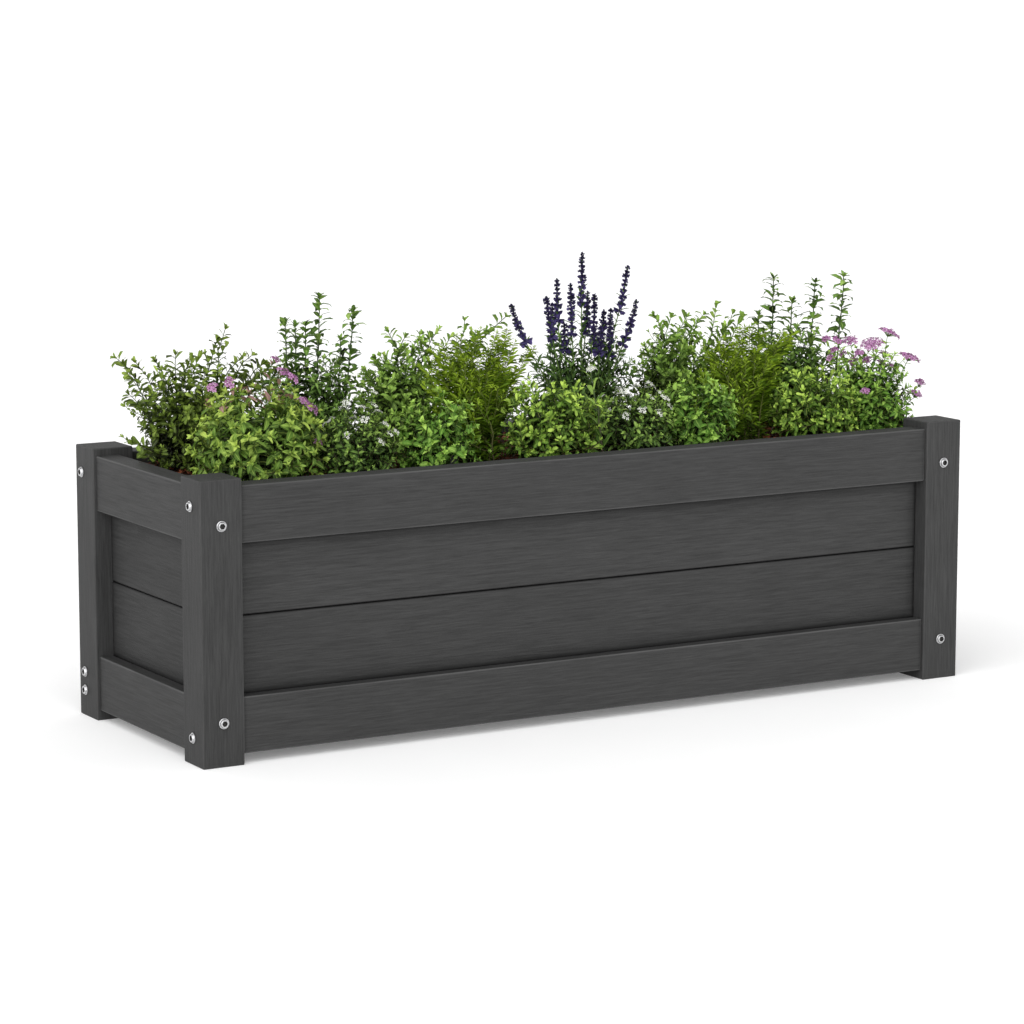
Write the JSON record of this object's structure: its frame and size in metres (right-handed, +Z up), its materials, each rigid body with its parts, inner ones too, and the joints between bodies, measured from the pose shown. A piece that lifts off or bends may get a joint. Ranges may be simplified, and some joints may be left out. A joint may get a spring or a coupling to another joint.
{
  "type": "planted raised bed",
  "caption": "Dark painted timber raised bed on corner posts, filled with soil and bark mulch and planted with mixed green, violet, pink and white flowering shrubs and herbs.",
  "frame": {"origin": "on the ground under the middle of the box", "axes": "+X along the long sides to the right as seen from the front, +Y from the front to the back, +Z up"},
  "size_m": [1.2084, 0.4084, 0.62],
  "materials": {
    "painted_wood": "matte",
    "zinc": "satin",
    "soil": "matte",
    "bark": "matte",
    "leaf_dark": "satin",
    "leaf_mid": "satin",
    "leaf_lime": "satin",
    "leaf_olive": "satin",
    "stem": "matte",
    "flower_violet": "matte",
    "flower_pink": "matte",
    "flower_white": "matte"
  },
  "bodies": {
    "root": {"post_front_left": "painted_wood", "post_front_right": "painted_wood", "post_back_left": "painted_wood", "post_back_right": "painted_wood", "rail_front_upper": "painted_wood", "rail_front_lower": "painted_wood", "rail_back_upper": "painted_wood", "rail_back_lower": "painted_wood", "rail_left_upper": "painted_wood", "rail_left_lower": "painted_wood", "rail_right_upper": "painted_wood", "rail_right_lower": "painted_wood", "plank_front_upper": "painted_wood", "plank_front_lower": "painted_wood", "plank_back_upper": "painted_wood", "plank_back_lower": "painted_wood", "plank_left_upper": "painted_wood", "plank_left_lower": "painted_wood", "plank_right_upper": "painted_wood", "plank_right_lower": "painted_wood", "bearer_left": "painted_wood", "bearer_middle": "painted_wood", "bearer_right": "painted_wood", "floor_board_front": "painted_wood", "floor_board_back": "painted_wood", "bolt_front_left_upper": "zinc", "bolt_front_left_lower": "zinc", "bolt_front_right_upper": "zinc", "bolt_front_right_lower": "zinc", "bolt_back_left_upper": "zinc", "bolt_back_left_lower": "zinc", "bolt_back_right_upper": "zinc", "bolt_back_right_lower": "zinc", "bolt_left_front_upper": "zinc", "bolt_left_front_lower": "zinc", "bolt_left_back_upper": "zinc", "bolt_left_back_lower": "zinc", "bolt_right_front_upper": "zinc", "bolt_right_front_lower": "zinc", "bolt_right_back_upper": "zinc", "bolt_right_back_lower": "zinc", "bolt_left_back_middle": "zinc", "soil": "soil", "bark_mulch": "bark", "shrub_pink": "leaf_lime", "alyssum_left": "leaf_mid", "mint_left": "leaf_mid", "boxleaf_centre": "leaf_lime", "alyssum_right": "leaf_mid", "mint_right": "leaf_mid", "fern_centre": "leaf_olive", "fern_right": "leaf_olive", "boxleaf_right": "leaf_lime", "verbena": "leaf_mid", "honeysuckle_left": "leaf_dark", "spurge_left": "leaf_mid", "honeysuckle_centre": "leaf_mid", "salvia": "leaf_dark", "honeysuckle_right": "leaf_mid", "spurge_right": "leaf_mid"}
  },
  "joints": []
}
